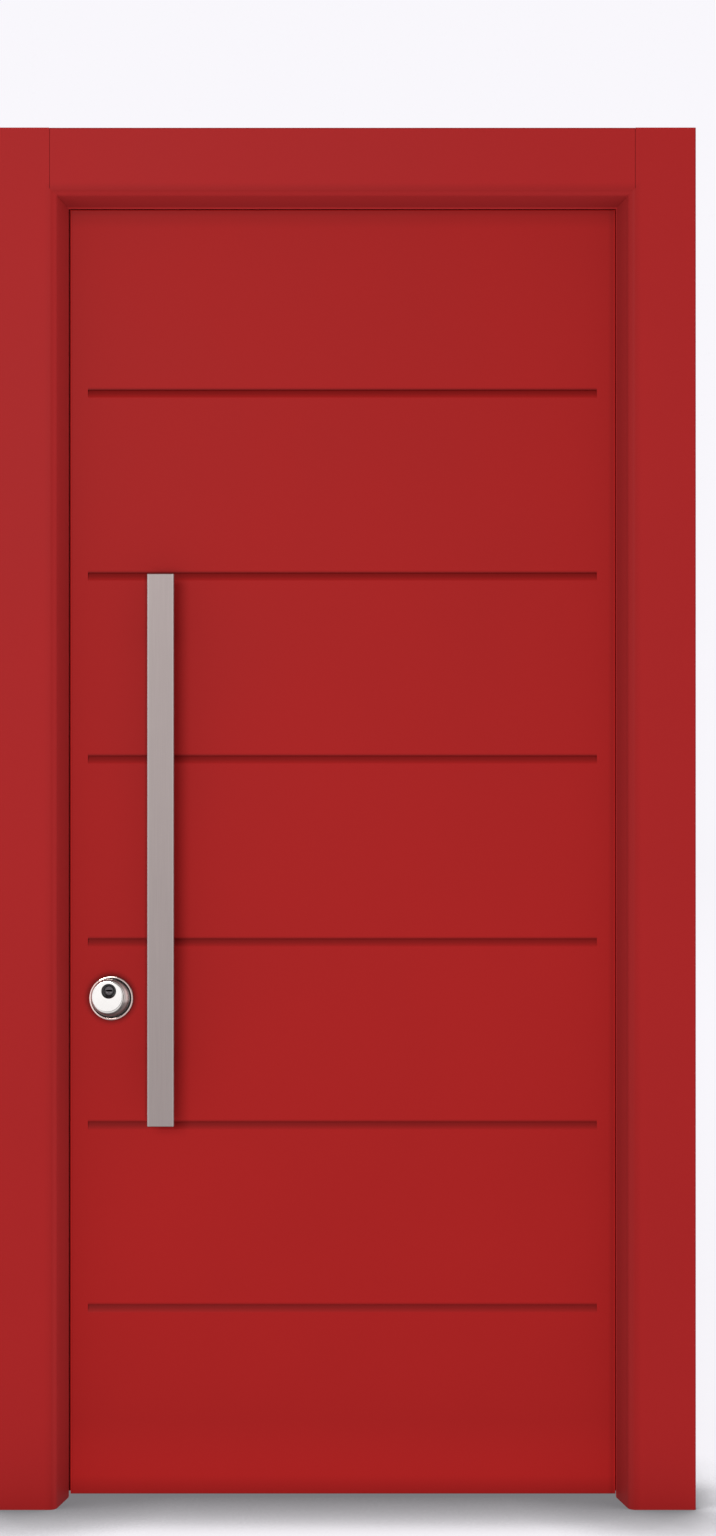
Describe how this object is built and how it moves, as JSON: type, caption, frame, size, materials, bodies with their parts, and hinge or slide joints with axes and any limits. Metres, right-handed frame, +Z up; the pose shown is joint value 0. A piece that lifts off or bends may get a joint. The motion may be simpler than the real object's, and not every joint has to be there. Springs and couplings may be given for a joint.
{
  "type": "panelled front door",
  "caption": "Flush steel security front door with horizontal grooves, a long flat pull bar and a round cylinder guard, hung in its own pressed frame.",
  "frame": {"origin": "floor level, in the middle of the door's width and depth", "axes": "+X across the door towards its hinges, +Y from outside to inside, +Z up"},
  "size_m": [1.146, 0.198, 2.24],
  "materials": {
    "frame_paint": "satin powder coat",
    "tray_paint": "satin powder coat",
    "outer_lacquer": "satin lacquer on board",
    "inner_lacquer": "satin lacquer on board",
    "bar_satin": "satin",
    "guard_polish": "polished",
    "cylinder_nickel": "nickel plated",
    "bolt_steel": "chrome plated",
    "lock_zinc": "zinc plated",
    "strike_steel": "brushed",
    "hinge_satin": "satin",
    "washer_brass": "turned",
    "lever_satin": "satin",
    "gasket_rubber": "matt",
    "seal_aluminium": "mill finish",
    "screw_steel": "zinc plated"
  },
  "bodies": {
    "frame": {"jamb_lock_side": "frame_paint", "jamb_hinge_side": "frame_paint", "frame_head": "frame_paint", "corner_plates": "frame_paint", "gasket_lock_side": "gasket_rubber", "gasket_hinge_side": "gasket_rubber", "gasket_head": "gasket_rubber", "main_strike_plate": "strike_steel", "lower_strike_plate": "strike_steel", "upper_strike_plate": "strike_steel", "head_keeper_plate": "strike_steel", "strike_screws": "screw_steel", "hinge_frame_half_1": "hinge_satin", "hinge_frame_half_2": "hinge_satin", "hinge_frame_half_3": "hinge_satin", "hinge_pins": "hinge_satin", "hinge_washers": "washer_brass", "hinge_frame_screws": "screw_steel"},
    "leaf": {"leaf_tray": "tray_paint", "leaf_cover": "tray_paint", "stiffeners": "tray_paint", "outer_panel": "outer_lacquer", "inner_panel": "inner_lacquer", "dog_bolts": "bolt_steel", "hinge_leaf_half_1": "hinge_satin", "hinge_leaf_half_2": "hinge_satin", "hinge_leaf_half_3": "hinge_satin", "hinge_leaf_screws": "screw_steel", "seal_housing": "seal_aluminium", "lock_case": "lock_zinc", "lock_faceplate": "strike_steel", "faceplate_screws": "screw_steel", "lower_side_lock_case": "lock_zinc", "upper_side_lock_case": "lock_zinc", "cylinder_body": "cylinder_nickel", "cylinder_guard": "guard_polish", "thumbturn_rose": "lever_satin", "lever_rose": "lever_satin", "pull_bar": "bar_satin", "pull_posts": "bar_satin", "pull_fixings": "lock_zinc"},
    "lever": {"lever_handle": "lever_satin", "lever_spindle": "lock_zinc", "latch_follower": "lock_zinc"},
    "latch": {"latch_bolt": "bolt_steel"},
    "thumbturn": {"thumbturn": "lever_satin", "cylinder_cam": "cylinder_nickel"},
    "key_plug": {"key_plug": "cylinder_nickel"},
    "main_bolts": {"main_bolts": "bolt_steel", "bolt_carriage": "lock_zinc"},
    "upper_rod": {"upper_rod": "lock_zinc", "top_bolt": "bolt_steel"},
    "lower_rod": {"lower_rod": "lock_zinc"},
    "upper_side_bolts": {"upper_side_bolts": "bolt_steel"},
    "lower_side_bolts": {"lower_side_bolts": "bolt_steel"},
    "drop_seal": {"seal_blade": "seal_aluminium", "seal_lip": "gasket_rubber"},
    "seal_plunger": {"seal_plunger": "seal_aluminium"}
  },
  "joints": [
    {"name": "leaf_swing", "type": "hinge", "parent": "frame", "child": "leaf", "pos_m": [0.476, 0.053, 1.06], "axis": [0, 0, -1], "range_deg": [0, 100]},
    {"name": "lever_turn", "type": "hinge", "parent": "leaf", "child": "lever", "pos_m": [-0.3823, 0.067, 0.9195], "axis": [0, 1, 0], "range_deg": [0, 45], "stiffness_Nm_per_rad": 1, "springref_deg": -28.65},
    {"name": "latch_slide", "type": "slide", "parent": "leaf", "child": "latch", "axis": [1, 0, 0], "range_m": [0, 0.012]},
    {"name": "thumbturn_turn", "type": "hinge", "parent": "leaf", "child": "thumbturn", "pos_m": [-0.3823, 0.057, 0.8345], "axis": [0, 1, 0], "range_deg": [0, 720]},
    {"name": "main_bolts_slide", "type": "slide", "parent": "leaf", "child": "main_bolts", "axis": [-1, 0, 0], "range_m": [0, 0.036]},
    {"name": "upper_rod_slide", "type": "slide", "parent": "leaf", "child": "upper_rod", "axis": [0, 0, 1], "range_m": [0, 0.02]},
    {"name": "lower_rod_slide", "type": "slide", "parent": "leaf", "child": "lower_rod", "axis": [0, 0, -1], "range_m": [0, 0.02]},
    {"name": "upper_side_bolts_slide", "type": "slide", "parent": "leaf", "child": "upper_side_bolts", "axis": [-1, 0, 0], "range_m": [0, 0.03]},
    {"name": "lower_side_bolts_slide", "type": "slide", "parent": "leaf", "child": "lower_side_bolts", "axis": [-1, 0, 0], "range_m": [0, 0.03]},
    {"name": "key_plug_turn", "type": "hinge", "parent": "leaf", "child": "key_plug", "pos_m": [-0.3823, -0.046, 0.8345], "axis": [0, 1, 0], "continuous": true},
    {"name": "seal_drop", "type": "slide", "parent": "leaf", "child": "drop_seal", "axis": [0, 0, -1], "range_m": [0, 0.0072], "stiffness_N_per_m": 400, "springref_m": -0.03},
    {"name": "seal_plunger_slide", "type": "slide", "parent": "leaf", "child": "seal_plunger", "axis": [-1, 0, 0], "range_m": [0, 0.006]}
  ],
  "couplings": [
    {"joint": "latch_slide", "follows": "lever_turn", "m_per_rad": 0.01527},
    {"joint": "thumbturn_turn", "follows": "main_bolts_slide", "rad_per_m": 349.06},
    {"joint": "upper_rod_slide", "follows": "main_bolts_slide", "ratio": 0.5555},
    {"joint": "lower_rod_slide", "follows": "main_bolts_slide", "ratio": 0.5555},
    {"joint": "upper_side_bolts_slide", "follows": "main_bolts_slide", "ratio": 0.8333},
    {"joint": "lower_side_bolts_slide", "follows": "main_bolts_slide", "ratio": 0.8333},
    {"joint": "seal_plunger_slide", "follows": "seal_drop", "ratio": 0.833}
  ]
}
